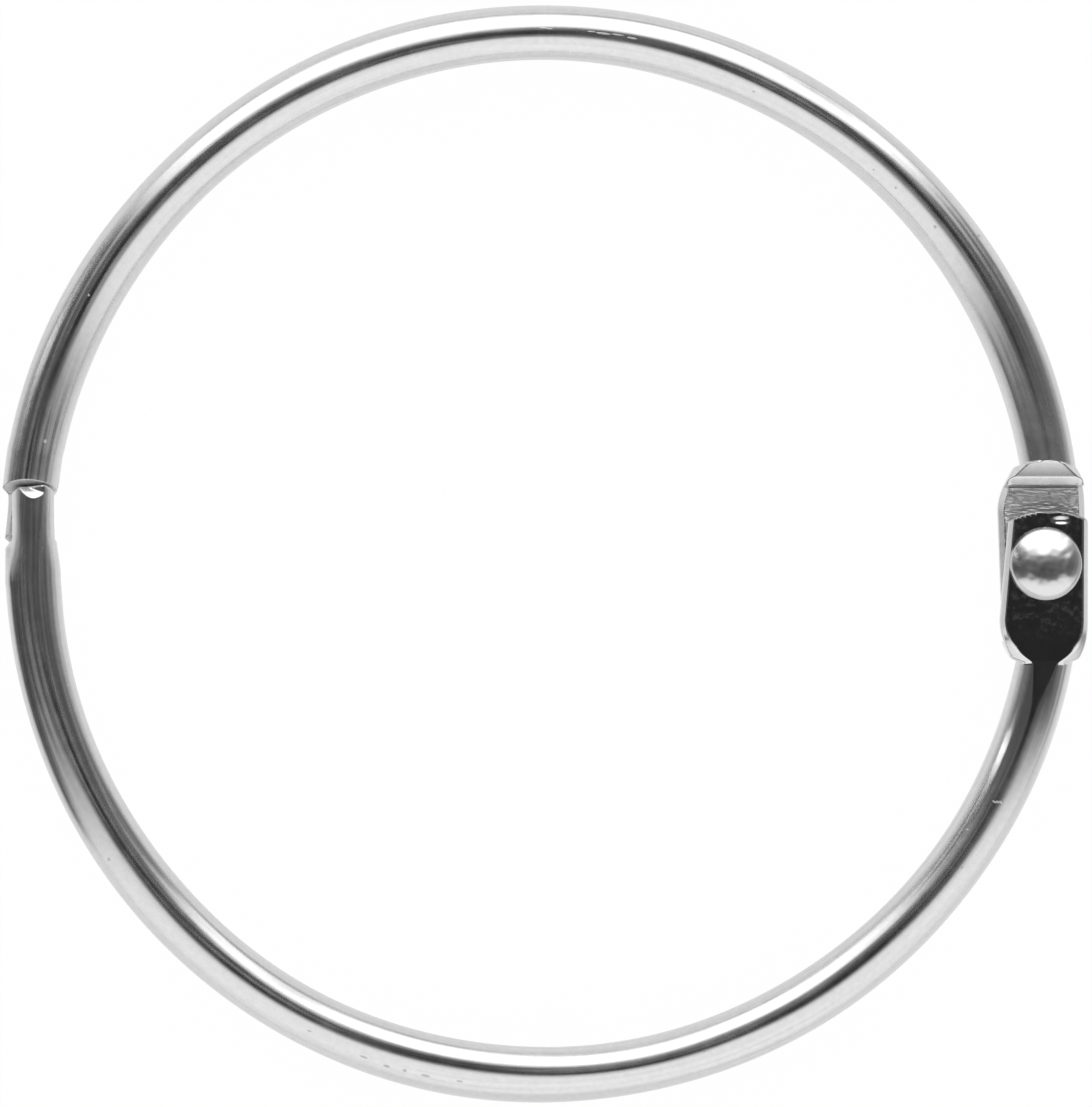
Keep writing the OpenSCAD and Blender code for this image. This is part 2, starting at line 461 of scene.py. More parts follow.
def clasp_cuts(y, z, size):
    """How far a point lies below the lap face and past the foot, and past the shoulder and the tip."""
    below = size.lap_plane - z
    past_foot = y - size.clasp_y + size.lap_length / 2
    wall = (past_foot + size.shoulder_lean * below) * SHOULDER_COSINE
    tip = (past_foot - size.lap_length + size.tip_gap - size.tip_lean * z) * TIP_COSINE
    return below, past_foot, wall, tip


def tongue_body(across, along, x, y, z, size, wire):
    """Distance to the cone of the tongue, squeezed at its sides, where the wire runs into it."""
    past_foot = clasp_cuts(y, z, size)[1]
    inner = rise(past_foot, size.inner_squeeze, 1.3)
    outer = rise(past_foot, size.outer_squeeze, 0.35)
    outer = mix(outer, inner, rise(z, 0.1, 0.9))
    squeezed = size.squeeze * mix(inner, outer, across > 0.0) - most(past_foot - 0.3, 0.0) * 0.015
    shrink = (size.wire_radius - size.tip_radius) / size.taper_length
    cone = round_bar(across * (squeezed + 1.0), x, y, z, size) + shrink * most(along, 0.0)
    return mix(wire, cone, along > -1.6)


def tip_bevel(across, x, y, z, size):
    """Distance to the slanted face at the tongue's tip."""
    skew_x, skew_y = sine(size.bevel_skew), cosine(size.bevel_skew)
    tip_y = size.clasp_y + size.lap_length / 2 - size.tip_gap
    past_bevel = (x + size.arc_radius) * skew_x + (y - tip_y) * skew_y - size.bevel_start
    sunk = least(past_bevel * size.bevel_slope, size.bevel_depth)
    return (z + across * size.bevel_tilt - size.bevel_height + sunk) * BEVEL_COSINE


def notch_grooves(across, below, y, size):
    """Distance to the three grooves of the notches, below zero in a groove."""
    notch = (y - size.clasp_y) / size.notch_pitch
    nearest = least(most(notch.math("ROUND"), -1.0), 1.0)
    groove = abs(notch - nearest) * size.notch_pitch - below - size.notch_depth
    groove = most(groove * math.sqrt(0.5), abs(across) - size.notch_width / 2)
    return most(groove, below - 0.1)


def clasp_distance(x, y, z, size, wire):
    """Distance to the tapered tongue of the clasp."""
    from_x, from_y = x - size.base_x, y - size.base_y
    along = from_x * size.tongue_x + from_y * size.tongue_y
    across = from_y * size.tongue_x - from_x * size.tongue_y - sideways(x, y, size)
    below, _, wall, tip = clasp_cuts(y, z, size)
    body = tongue_body(across, along, x, y, z, size, wire)
    chamfer = (abs(across) - size.lap_chamfer) * CHAMFER_ACROSS + below * CHAMFER_DOWN
    body = common(body, joined(common(below, chamfer, 0.1), wall, 0.05), 0.06)
    body = common(body, common(tip, tip_bevel(across, x, y, z, size), 0.03), 0.04)
    return common(body, -notch_grooves(across, below, y, size), 0.03)


# %% [markdown]
# ## The skin of a half ring
# A grid of rings is laid along the wire, close together where the wire is pressed and wide apart on
# the plain arc. From the middle of its ring each point looks outwards, and halving steps find how
# far it goes until the distance is zero. At both ends the rings tilt forward until they close in a
# point. A remesh of the same formulas would be simpler, but its rows wouldn't follow the wire, and
# the mirror finish would show them. Geometry Nodes do this for all points at once, and the sizes
# are inputs of the tree.

# %% Where the rings lie
AROUND = 160
HALVINGS = 22
FIRST_STEP = 2.5

# Rings of each stretch, and the millimetres past the rivet where it ends
HINGE_STRETCHES = [(62, 2.7), (54, 4.85), (36, 5.75), (30, 6.8), (42, 11.0)]
HINGE_CAP_RINGS = 26
HINGE_CAP_AT = -2.2
ARC_RINGS = 150
# Rings of each stretch, and the millimetres past the end of the arc where it ends
CLASP_STRETCHES = [(17, 0.2), (36, 1.1), (42, 2.8)]
CLASP_START = -1.5
CLASP_CAP_RINGS = 46
# Up to here a ring's middle is found by its height, and from here on by its way along the arc
STRAIGHT_RINGS = 9.0


def ring_stations(ring, arc_end):
    """How far along the wire a ring lies, and how far the rings of the two ends are tilted."""
    counts = [n for n, _ in HINGE_STRETCHES] + [ARC_RINGS] + [n for n, _ in CLASP_STRETCHES]
    ends = [e for _, e in HINGE_STRETCHES] + [arc_end + CLASP_START]
    ends += [arc_end + e for _, e in CLASP_STRETCHES]
    station, passed, start = HINGE_CAP_AT, HINGE_CAP_RINGS, HINGE_CAP_AT
    for count, end in zip(counts, ends):
        share = least(most(ring - float(passed), 0.0), float(count)) / float(count)
        station = share * (end - start) + station
        passed, start = passed + count, end
    hinge_tilt = 1.0 - least(ring / HINGE_CAP_RINGS, 1.0)
    clasp_tilt = most(ring - float(passed), 0.0) / CLASP_CAP_RINGS
    return station, hinge_tilt * (math.pi / 2), clasp_tilt * (math.pi / 2)


ring_count = HINGE_CAP_RINGS + CLASP_CAP_RINGS + ARC_RINGS + 1
ring_count += sum(n for n, _ in HINGE_STRETCHES + CLASP_STRETCHES)
print("rings:", ring_count, "points around:", AROUND)

# %% [markdown]
# A ring needs a middle well inside the metal, or its points couldn't all see the skin. On the ear
# that is the ear's own middle line, in front of the lapped face, then the wire's, then the
# tongue's. On the flat ear the points crowd to its corners.

# %% Where a ring's points stand and look
EAR_CENTRE_Z = 0.8
TONGUE_CENTRE_Z = 0.62
EAR_FLATNESS = 0.285
CORNER_CROWDING = 0.17
CAP_LOOKS_UP = 0.47


def clasp_line(size):
    """Adds to the sizes where the arc ends, and the line of the tongue from there."""
    base_y = size.clasp_y - size.lap_length / 2 - size.taper_lead
    end_lean = ((-base_y - size.arc_offset) / size.arc_radius).math("ARCSINE")
    end_angle = end_lean - math.pi
    straight_y = size.hinge_y - STRAIGHT_RINGS
    straight_angle = ((straight_y + size.arc_offset) / size.arc_radius).math("ARCSINE")
    size.end_angle = end_angle
    size.arc_end = (straight_angle - end_angle) * size.arc_radius + STRAIGHT_RINGS
    size.base_x = cosine(end_angle) * size.arc_radius
    size.base_y = sine(end_angle) * size.arc_radius - size.arc_offset
    size.tongue_x = sine(end_angle)
    size.tongue_y = -cosine(end_angle)


def ring_middle(station, size):
    """The middle of a ring, and the way out of the loop there as an angle."""
    ring_y = size.hinge_y - least(station, STRAIGHT_RINGS)
    angle = ((ring_y + size.arc_offset) / size.arc_radius).math("ARCSINE")
    angle = most(angle - most(station - STRAIGHT_RINGS, 0.0) / size.arc_radius, size.end_angle)
    past_arc = most(station - size.arc_end, 0.0)
    line_x = cosine(angle) * size.arc_radius + size.tongue_x * past_arc
    line_y = sine(angle) * size.arc_radius - size.arc_offset + size.tongue_y * past_arc
    middle_x = mix(size.hinge_x + ear_lean(station, size), line_x, rise(station, 4.9, 6.6))
    ear_z = (1.0 - rise(station, 4.9, 5.6)) * EAR_CENTRE_Z
    middle_z = ear_z + rise(station - size.arc_end, 0.3, 1.1) * TONGUE_CENTRE_Z
    middle = station.nodes.vector(middle_x, line_y, middle_z)
    return middle, angle * rise(station, 7.0, 17.0)


def ring_look(station, turn, facing, hinge_tilt, clasp_tilt, size):
    """The direction in which a ring's point looks."""
    flatness = mix(EAR_FLATNESS, 1.0, rise(station, 4.9, 6.8))
    tilt = hinge_tilt + clasp_tilt
    outward = cosine(tilt) * cosine(turn)
    look_x = outward * cosine(facing) + sine(clasp_tilt) * size.tongue_x
    look_y = outward * sine(facing) + sine(clasp_tilt) * size.tongue_y + sine(hinge_tilt) * CAP_LOOKS_UP
    look_z = cosine(tilt) * sine(turn) * flatness
    span = root(look_x * look_x + look_y * look_y + look_z * look_z)
    return station.nodes.vector(look_x / span, look_y / span, look_z / span)


# %% [markdown]
# The halving goes in a Repeat Zone. Each point carries how far it has reached as an attribute. It
# steps out while it is inside and in while it is outside, and each step is half the last, so
# twenty-two of them settle it to a millionth of a millimetre.

# %% Find the skin


def stored(mesh, name, value, data_type="FLOAT_VECTOR"):
    """The mesh with a value stored on its points."""
    inputs = {"Geometry": mesh, "Name": name, "Value": value}
    return mesh.nodes.add("GeometryNodeStoreNamedAttribute", inputs, data_type=data_type, domain="POINT")


def read(nodes, name, data_type="FLOAT_VECTOR"):
    """What was stored under that name."""
    return nodes.add("GeometryNodeInputNamedAttribute", {"Name": name}, data_type=data_type)


def reached_point(nodes):
    """Where a point is once it has gone as far as it has reached."""
    reach = read(nodes, "reach", "FLOAT")
    middle, look = nodes.split(read(nodes, "middle")), nodes.split(read(nodes, "look"))
    return [m + d * reach for m, d in zip(middle, look)]


def part_distance(x, y, z, size):
    """Distance to the half ring: the hinge end on the right, and the clasp end on the left."""
    wire = wire_distance(x, y, z, size)
    return mix(clasp_distance(x, y, z, size, wire), hinge_distance(x, y, z, size, wire), x > 0.0)


def halved(mesh, size):
    """The mesh once each point has reached the skin."""
    nodes = mesh.nodes
    start, end = nodes.node("GeometryNodeRepeatInput"), nodes.node("GeometryNodeRepeatOutput")
    start.pair_with_output(end)
    end.repeat_items.new("FLOAT", "Step")
    nodes.link(HALVINGS, start.inputs["Iterations"])
    nodes.link(FIRST_STEP, start.inputs["Step"])
    nodes.link(mesh, start.inputs["Geometry"])
    step = Value(nodes, start.outputs["Step"])
    distance = part_distance(*reached_point(nodes), size)
    new_reach = read(nodes, "reach", "FLOAT") + step * (1.0 - (distance > 0.0) * 2.0)
    moved = stored(Value(nodes, start.outputs["Geometry"]), "reach", new_reach, "FLOAT")
    nodes.link(moved, end.inputs["Geometry"])
    nodes.link(step / 2.0, end.inputs["Step"])
    return Value(nodes, end.outputs["Geometry"])


# %% [markdown]
# The finish needs to know two things of each point. The first is whether the shears cut it, since
# cut faces are torn and dull. Along the ear's tip and the step's corner the same value also holds a
# painted shade, which darkens the plate there. The second is its place on the wire: how far along,
# and its turn round the wire as a cosine and a sine, which has no seam.

# %% What the finish needs to know


def sheared_faces_and_edge_shade(x, y, z, size):
    """1 on the cut faces, up to 2 along the ear's tip and the step's corner, which get a painted shade, and
    0 elsewhere.
    """
    down = size.hinge_y - y
    from_middle = x - size.hinge_x - ear_middle(down, size)
    lap_face = rise(z, -0.14, -0.06) * (1.0 - rise(z, 0.14, 0.24))
    inside_edge = abs(from_middle) - size.ear_width / 2
    lap_face = lap_face * (1.0 - rise(inside_edge, -0.5, -0.38))
    # The step's corner and the ear's tip get up to 2, which the finish turns into a painted shade
    corner = rise(down, 4.83, 4.9) * (1.0 - rise(down, 4.96, 5.03))
    hinge_lap = (1.0 - rise(down, 4.95, 5.05) + corner) * lap_face
    tip_edge = rise(ear_tip(from_middle, down, size), -0.12, -0.05) * (down < -2.0) * 2.0
    hinge_lap = most(hinge_lap, tip_edge)
    below, past_foot, wall, tip = clasp_cuts(y, z, size)
    cut_face = least(least(abs(below), most(abs(wall), -below)), abs(tip))
    clasp_lap = (1.0 - rise(cut_face, 0.02, 0.06)) * rise(past_foot, -1.0, -0.8)
    return mix(clasp_lap, hinge_lap, x > 0.0)


def wire_place(x, y, z, size):
    """The way along the wire and the turn round it. On the ear, the turn is that of the look."""
    nodes = x.nodes
    station, look_x, look_y = nodes.split(read(nodes, "wire_coord"))
    off = length(x, y + size.arc_offset) - size.arc_radius
    from_axis = length(off, z)
    on_wire = rise(station, 5.0, 7.0)
    turn_x, turn_y = mix(look_x, off / from_axis, on_wire), mix(look_y, z / from_axis, on_wire)
    return nodes.vector(station, turn_x, turn_y)


# %% [markdown]
# Now the tree itself. It lays the grid, finds the skin, stores what the finish needs, and turns
# the upper half over. A grid is open along one side and at its ends, so merging by distance closes
# the seam and draws each end ring into a point.

# %% The Geometry Nodes tree


def tree_inputs(tree, nodes):
    """Adds an input for each size, and returns the sizes and the finish as values."""
    names = [*SIZES, "hinge_y", "clasp_y", "turned"]
    for name in names:
        tree.interface.new_socket(name, in_out="INPUT", socket_type="NodeSocketFloat")
    tree.interface.new_socket("finish", in_out="INPUT", socket_type="NodeSocketMaterial")
    tree.interface.new_socket("mesh", in_out="OUTPUT", socket_type="NodeSocketGeometry")
    group = nodes.add("NodeGroupInput")
    return SimpleNamespace(**{name: group.of(name) for name in names}), group.of("finish")


def laid_grid(nodes, size):
    """The grid of rings, with what each point needs to find the skin."""
    grid = nodes.add("GeometryNodeMeshGrid", [1.0, 1.0, ring_count, AROUND + 1])
    grid_x, grid_y, _ = nodes.split(nodes.add("GeometryNodeInputPosition"))
    ring = (grid_x + 0.5) * (ring_count - 1.0)
    turn = (grid_y + 0.5) * (-2 * math.pi)
    station, hinge_tilt, clasp_tilt = ring_stations(ring, size.arc_end)
    crowding = (1.0 - rise(station, 5.2, 7.0)) * CORNER_CROWDING
    turn = turn + crowding * sine(turn * 4.0)
    middle, facing = ring_middle(station, size)
    mesh = stored(grid, "middle", middle)
    mesh = stored(mesh, "look", ring_look(station, turn, facing, hinge_tilt, clasp_tilt, size))
    mesh = stored(mesh, "wire_coord", nodes.vector(station, cosine(turn), sine(turn)))
    return stored(mesh, "reach", FIRST_STEP * 2.0, "FLOAT")


def half_ring_tree():
    """A tree that makes one half ring, with its sizes as inputs."""
    tree = bpy.data.node_groups.new("half_ring", "GeometryNodeTree")
    nodes = Nodes(tree)
    size, finish = tree_inputs(tree, nodes)
    clasp_line(size)
    mesh = halved(laid_grid(nodes, size), size)
    x, y, z = reached_point(nodes)
    # The stored value also carries the painted shade of the ear's tip and the step's corner
    mesh = stored(mesh, "sheared_and_edge_shade", sheared_faces_and_edge_shade(x, y, z, size), "FLOAT")
    mesh = stored(mesh, "wire_coord", wire_place(x, y, z, size))
    place = nodes.vector(x * MM, y * size.turned * MM, z * size.turned * MM)
    mesh = nodes.add("GeometryNodeSetPosition", {"Geometry": mesh, "Position": place})
    for name in ("middle", "look", "reach"):
        mesh = nodes.add("GeometryNodeRemoveAttribute", {"Geometry": mesh, "Name": name})
    mesh = nodes.add("GeometryNodeMergeByDistance", {"Geometry": mesh, "Distance": 1e-6})
    mesh = nodes.add("GeometryNodeSetShadeSmooth", {"Geometry": mesh})
    mesh = nodes.add("GeometryNodeRealizeInstances", {"Geometry": mesh})
    mesh = nodes.add("GeometryNodeSetMaterial", {"Geometry": mesh, "Material": finish})
    nodes.add("NodeGroupOutput", [mesh])
    return tree


# %% [markdown]
# A tree is only a recipe. A carrier object runs it once with one half's sizes, the result becomes
# a plain mesh, and the carrier goes.

# %% From the tree to a plain mesh
scene = bpy.context.scene


def in_scene(name, data):
    """A new object in the scene, with that mesh or camera."""
    thing = bpy.data.objects.new(name, data)
    scene.collection.objects.link(thing)
    return thing


def made_by(tree, name, values):
    """The mesh object that a tree makes from these values of its inputs."""
    carrier = in_scene(name + "_maker", bpy.data.meshes.new(name))
    modifier = carrier.modifiers.new("maker", "NODES")
    modifier.node_group = tree
    for item in tree.interface.items_tree:
        if item.item_type == "SOCKET" and item.in_out == "INPUT":
            modifier[item.identifier] = values[item.name]
    evaluated = carrier.evaluated_get(bpy.context.evaluated_depsgraph_get())
    mesh = bpy.data.meshes.new_from_object(evaluated)
    carrier.modifiers.clear()
    bpy.data.objects.remove(carrier)
    print(name, len(mesh.vertices), "points")
    return in_scene(name, mesh)


# %% [markdown]
# ## The plated finish
# Both halves are bright nickel over steel. The plating is a mirror, but it isn't a clean one: drawing
# the wire left fine lines and hazy streaks along it, and handling left small pits. Lines and
# streaks follow the wire, so they read the place on the wire that the tree stored. Pits and haze
# have no direction, so they read Object coordinates.

# %% Helpers for the finishes
NICKEL = 0.66


def empty_tree(owner):
    """Empties the tree of a new material or world, and returns its nodes."""
    owner.use_nodes = True
    owner.node_tree.nodes.clear()
    return Nodes(owner.node_tree)


def grey(nodes, value):
    """A grey of that level."""
    return nodes.add("ShaderNodeCombineColor", [value, value, value])


def end_in_metal(nodes, level, roughness, height, strength, distance):
    """Ends a material's tree in a metal of that grey, with that height as its bump."""
    bump = nodes.add("ShaderNodeBump", {"Strength": strength, "Distance": distance, "Height": height})
    nodes.add("ShaderNodeOutputMaterial", [nodes.add("ShaderNodeBsdfPrincipled", {
        "Base Color": grey(nodes, level), "Metallic": 1.0, "Roughness": roughness, "Normal": bump})])


# %% [markdown]
# A ring that has been handled has a few dents and scuffs on its front. Each is an oval mark at its
# own place: a turn round the loop, and a way out from its middle. A handful can be placed one by
# one, where a noise would spread them evenly.

# %% Marks of use
# Degrees round the loop, millimetres from its middle, and half the length and width in millimetres
DENTS = [
    (39.8, 32.82, 0.16, 0.12), (46.0, 32.68, 0.12, 0.1), (49.2, 32.58, 0.1, 0.08), (65.4, 32.64, 0.14, 0.1),
    (250.5, 34.3, 0.35, 0.1), (253.1, 34.4, 0.3, 0.12), (255.1, 34.35, 0.2, 0.14),
    (257.4, 34.35, 0.4, 0.12), (261.1, 34.3, 0.3, 0.1), (244.0, 34.1, 0.2, 0.08)]
SCUFFS = [
    (-28.76, 33.11, 0.08, 0.15), (-28.6, 33.28, 0.08, 0.15), (-28.43, 33.46, 0.08, 0.15),
    (167.2, 32.72, 0.14, 0.12), (-33.0, 32.55, 0.08, 0.08), (84.6, 33.66, 0.3, 0.05),
    (83.3, 33.62, 0.6, 0.07), (81.7, 33.66, 0.5, 0.05), (80.1, 33.6, 0.4, 0.06),
    (89.9, 33.74, 0.3, 0.05), (89.2, 33.7, 0.25, 0.05), (150.3, 33.5, 0.1, 0.08)]


def marked(nodes, place, marks):
    """1 on the marks of the front, and 0 elsewhere."""
    x, y, z = nodes.split(place)
    shown = z * 0.0
    for turn, reach, long, wide in marks:
        c, s = math.cos(math.radians(turn)), math.sin(math.radians(turn))
        out = (x * (c / MM) + y * (s / MM) - reach) / wide
        aside = (y * (c / MM) - x * (s / MM)) / long
        shown = most(shown, 1.0 - rise(length(out, aside), 0.4, 1.0))
    return shown * (z > 0.0)


print("marks:", len(DENTS), "dents and", len(SCUFFS), "scuffs")

# %% [markdown]
# The drawn wire is hazy in streaks, the pressed slope is satin from the die, the flat ear is the
# best mirror with a few hazy specks, and the sheared faces are dull and torn. Along the ear's tip and
# the step's corner the plate is darker, which is a painted shade. All are one material, with a mask for
# each, since they are one plating on one piece and run into each other.

# %% Plated wire


def drawn_haze(nodes, along, around_x, around_y, lines):
    """How hazy the drawn wire is, from 0 to 1: in streaks along it, here and there."""
    wander = noise(nodes.vector(along * 0.03, around_x * 1.5, around_y * 1.5), 1.0, 1.0, 0.5)
    streak = sine(around_y.math("ARCTAN2", around_x) * 23.0 + wander * 16.0) * 0.5 + 0.5
    patch = noise(nodes.vector(along * 0.09, around_x * 1.2, around_y * 1.2), 1.0, 2.0, 0.5)
    streaky = rise(patch, 0.4, 0.62)
    return mix(patch, streak, streaky * 0.75 + 0.1) * 0.7 + rise(lines, 0.4, 0.6) * 0.3


def plated_wire():
    """Bright nickel plate with lengthwise drawing lines, small pits, and a painted shade along the ear's tip
    and the step's corner.
    """
    material = bpy.data.materials.new("plated_wire")
    nodes = empty_tree(material)
    wrap = nodes.add("ShaderNodeAttribute", out="Vector", attribute_name="wire_coord")
    along, around_x, around_y = nodes.split(wrap)
    # Cut faces, and above 1 the painted shade of the ear's tip and the step's corner
    sheared_and_edge_shade = nodes.add("ShaderNodeAttribute", out="Fac", attribute_name="sheared_and_edge_shade")
    place = nodes.add("ShaderNodeTexCoord", out="Object")

    # Where each finish is
    drawn = rise(along, 7.0, 15.0)
    pressed = rise(along, 4.6, 5.2) * (1.0 - drawn) * (1.0 - rise(around_y, -0.5, 0.0))
    flat = 1.0 - rise(along, 3.5, 5.5)
    dent = marked(nodes, place, DENTS)
    scuff = marked(nodes, place, SCUFFS)

    # What it looks like there
    lines = noise(nodes.vector(along * 0.05, around_x * 9.0, around_y * 9.0), 1.0, 2.0, 0.6)
    hazy = drawn_haze(nodes, along, around_x, around_y, lines)
    mottle = noise(place, 900.0, 2.0, 0.5)
    pits = nodes.add("ShaderNodeTexVoronoi", {"Vector": place, "Scale": 300.0, "Randomness": 1.0})
    pit = (1.0 - rise(pits, 0.02, 0.05)) * drawn
    frost = noise(place, 2600.0, 1.0, 0.5)
    specks = noise(place, 2800.0, 3.0, 0.6)
    torn = noise(place, 2500.0, 3.0, 0.6)

    plate = NICKEL * (1.0 - pit * 0.3) + (mottle - 0.5) * 0.04 + drawn * (hazy - 0.6) * 0.11
    # Painted shade: where the stored value passes 1, along the ear's tip and the step's corner, the plate is
    # darkened by up to 0.6
    plate = plate * (1.0 - rise(sheared_and_edge_shade, 1.1, 2.2) * 0.6) * (1.0 - dent * 0.35) + (frost - 0.5) * 0.09
    height = (lines - 0.5) * 0.5 + (mottle - 0.5) * 0.35 - pit * 0.6 + flat * specks * 4.0
    height = height + drawn * (frost - 0.5) * 0.1
    height = height + sheared_and_edge_shade * torn * 12.0 - dent * 1.2 + scuff * torn * 6.0
    roughness = drawn * (rise(hazy, 0.0, 1.0) * 0.14 + 0.07) + pressed * 0.18 + sheared_and_edge_shade * 0.33
    roughness = roughness + scuff * 0.45 + mottle * 0.08 + 0.05 + flat * rise(specks, 0.45, 0.7) * 0.09
    end_in_metal(nodes, plate, roughness, height, strength=0.14, distance=0.02 * MM)
    return material


wire_finish = plated_wire()
print("finish:", wire_finish.name, len(wire_finish.node_tree.nodes), "nodes")

# %% [markdown]
# The rivet was plated with the rest and then struck, so its dome has the soft dimples of the
# riveting tool and is a little duller.

# %% Plated rivet


def plated_rivet():
    """The rivet's plate, with the soft dimples of the riveting tool."""
    material = bpy.data.materials.new("plated_rivet")
    nodes = empty_tree(material)
    place = nodes.add("ShaderNodeTexCoord", out="Object")
    dimples = noise(place, 700.0, 2.0, 0.5)
    scuffs = noise(place, 3000.0, 3.0, 0.6)
    plate = NICKEL + (scuffs - 0.5) * 0.05
    height = (dimples - 0.5) + (scuffs - 0.5) * 0.15
    roughness = 0.19 + scuffs * 0.1
    end_in_metal(nodes, plate, roughness, height, strength=0.25, distance=0.05 * MM)
    return material


rivet_finish = plated_rivet()
print("finish:", rivet_finish.name, len(rivet_finish.node_tree.nodes), "nodes")

# %% [markdown]
# ## The two halves
# The upper half is the same part as the lower, turned over about the X axis. It could be a copy, but
# no two pressed parts are quite alike, so the one tree makes it again from its own sizes. It gets
# the hinge's and the clasp's heights with their signs changed, and the tree turns it over.

# %% Make the halves
CLASP_RISE = 2.27
tree = half_ring_tree()


def half_ring(name, turned, own_sizes):
    """One half ring: turned is 1 for the lower half, and -1 for the upper half."""
    values = {**SIZES, **own_sizes, "hinge_y": turned * hinge_y, "clasp_y": turned * CLASP_RISE,
              "turned": turned, "finish": wire_finish}
    return made_by(tree, name, values)


lower_wire = half_ring("lower_wire", 1.0, {})
upper_wire = half_ring("upper_wire", -1.0, UPPER_SIZES)

# %% [markdown]
# ## The rivet
# A rivet is turned about its axis, so it could be a curve with the Screw modifier. Written as a
# profile of rings it is as short, and each ring can be pushed aside: the head was struck a little
# off its middle, which moves its top, and the hammer left it uneven.

# %% The rivet's profile
HEAD_WIDTH = 4.7
HEAD_HEIGHT = 1.34
TAIL_WIDTH = 3.8
TAIL_HEIGHT = 0.7
SHANK_R = 1.15
EAR_TOP = SIZES["ear_thickness"]
# The head stands a hair off the ear
HEAD_BASE = EAR_TOP + 0.04
RIM_RINGS = 8
RIM_BEVEL = 0.06


def dome_profile(diameter, height, base, cap_r, fall, rim_r, rings):
    """Radius and height of a dome's rings: a cap that falls faster outwards, a rim, and a side."""
    rim_middle = diameter / 2 - rim_r
    cap_edge = rim_middle / (1 - rim_r / cap_r)
    points = []
    z = base + height
    for i in range(rings):
        r = cap_edge * (i + 0.5) / rings
        edge = math.asin(r / cap_r + fall * r ** 3)
        z -= math.tan(edge) * cap_edge / rings
        points.append((cap_edge * (i + 1) / rings, z))
    rim_middle = points[-1][0] - rim_r * math.sin(edge)
    rim_r = min(rim_r, diameter / 2 - rim_middle)
    rim_z = points[-1][1] - rim_r * math.cos(edge)
    for i in range(1, RIM_RINGS + 1):
        a = edge + (math.pi / 2 - edge) * i / RIM_RINGS
        points.append((rim_middle + rim_r * math.sin(a), rim_z + rim_r * math.cos(a)))
    points.append((diameter / 2, base + RIM_BEVEL))
    points.append((diameter / 2 - RIM_BEVEL, base))
    return points


def rivet_profile():
    """Radius and height of the rivet's rings, from the top of its head to its tail."""
    head = dome_profile(HEAD_WIDTH, HEAD_HEIGHT, HEAD_BASE, cap_r=5.2, fall=0.031, rim_r=0.22, rings=44)
    tail = dome_profile(TAIL_WIDTH, TAIL_HEIGHT, EAR_TOP, cap_r=3.6, fall=0.0, rim_r=0.15, rings=24)
    shank = [(SHANK_R, HEAD_BASE), (SHANK_R, -EAR_TOP)]
    return head + shank + [(r, -z) for r, z in reversed(tail)]


print("rivet profile:", len(rivet_profile()), "rings")

# %% [markdown]
# The rings are joined into one closed skin. The hammer's marks are a slow and a quick noise on the
# height of the head, worked out in Python with a fixed place, so they are the same on each run.

# %% Make the rivet
RIVET_AROUND = 144
HEAD_OFFSET = -0.7
# From this height over its base the head is uneven, and from this much higher fully so
STRUCK_FROM = 0.1
STRUCK_OVER = 0.3


def hammered(x, y):
    """The small rise or fall that the hammer left there."""
    broad = value_noise.noise(Vector((x * 0.8, y * 0.8, 4.3)))
    fine = value_noise.noise(Vector((x * 2.3, y * 2.3, 9.0)))
    return 0.02 * x * x + 0.035 * broad + 0.012 * fine


def ring_points(r, z):
    """The points of one ring, pushed aside and hammered where it belongs to the head."""
    raised = min(1.0, max(0.0, (z - HEAD_BASE - STRUCK_FROM) / STRUCK_OVER))
    shift = HEAD_OFFSET * max(0.0, 1 - (2 * r / HEAD_WIDTH) ** 2) if raised > 0 else 0.0
    points = []
    for k in range(RIVET_AROUND):
        a = 2 * math.pi * k / RIVET_AROUND
        x, y = r * math.cos(a), shift + r * math.sin(a)
        points.append((hinge_x + x, hinge_y + y, z + raised * hammered(x, y)))
    return points


def rivet_mesh(name):
    """The rivet as one closed skin."""
    rings = rivet_profile()
    top_z = HEAD_BASE + HEAD_HEIGHT + hammered(0.0, HEAD_OFFSET)
    points = [(hinge_x, hinge_y + HEAD_OFFSET, top_z)]
    for r, z in rings:
        points += ring_points(r, z)
    points.append((hinge_x, hinge_y, -EAR_TOP - TAIL_HEIGHT))
    faces = []
    last = len(points) - 1
    for k in range(RIVET_AROUND):
        n = (k + 1) % RIVET_AROUND
        faces.append((0, 1 + k, 1 + n))
        faces.append((last, last - RIVET_AROUND + n, last - RIVET_AROUND + k))
        for i in range(len(rings) - 1):
            a, b = 1 + i * RIVET_AROUND, 1 + (i + 1) * RIVET_AROUND
            faces.append((a + k, b + k, b + n, a + n))
    mesh = bpy.data.meshes.new(name)
    mesh.from_pydata([tuple(MM * c for c in p) for p in points], [], faces)
    mesh.shade_smooth()
    mesh.materials.append(rivet_finish)
    return in_scene(name, mesh)


rivet = rivet_mesh("rivet")
print("rivet:", len(rivet.data.polygons), "faces")

# %% [markdown]
# ## Seat the pieces on the imported model
# The upper half and the rivet are fast to each other, and the lower half swings, so each skin rides
# on the body of its imported solid. The solid has plain faces and no marks of the press, so the
# skin takes its place.

# %% Ride and replace
for piece, body, node, slot in (
        (upper_wire, "fixed_half", "upper_half", "plated_wire"),
        (lower_wire, "opening_half", "lower_half", "plated_wire"),
        (rivet, "fixed_half", "hinge_rivet", "plated_rivet")):
    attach(piece, body)
    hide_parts(node)
    print(piece.name, "rides on", body)

# %% [markdown]
# ## The studio
# A mirror shows the room, so the room matters as much as the plate. Area lamps would do, but each
# adds light to the floor as well. Here the room is painted on the world instead: a large soft light
# behind the ring, a wider and weaker one in front, dark walls with a curtain on the left, and a dark
# opening overhead, which the flat ear shows. One small bright lamp gives the wire its highlight near
# the hinge.

